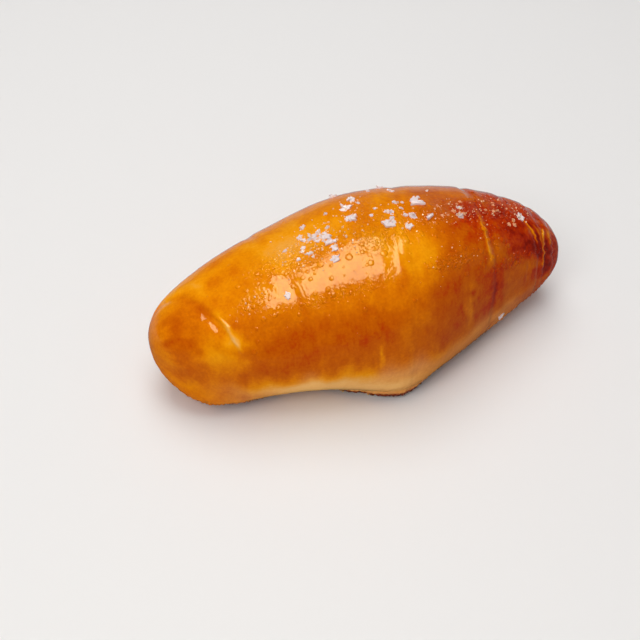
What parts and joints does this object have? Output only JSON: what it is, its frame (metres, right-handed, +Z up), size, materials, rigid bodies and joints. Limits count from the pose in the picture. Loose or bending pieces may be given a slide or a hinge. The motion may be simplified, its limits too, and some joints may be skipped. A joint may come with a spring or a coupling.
{
  "type": "salt bread roll",
  "caption": "Bread roll to eat: a tapering wrap of baked dough with a glossy browned crust, low wrap edges, a flat sole and flakes of sea salt on its crown.",
  "frame": {"origin": "centre of the roll's bounding box, on the plane of its sole", "axes": "+X along the roll towards its browner tapering end, +Y towards its back, +Z up"},
  "size_m": [0.139, 0.0676, 0.0531],
  "materials": {
    "crust": "baked golden to red-brown crust, brushed with butter, with a clear buttery gloss",
    "salt": "translucent white salt crystal, faceted and glossy",
    "sole": "matt brown baked underside with a pale crumbly rim"
  },
  "bodies": {
    "root": {"salt_bread_roll": "crust"}
  },
  "joints": []
}
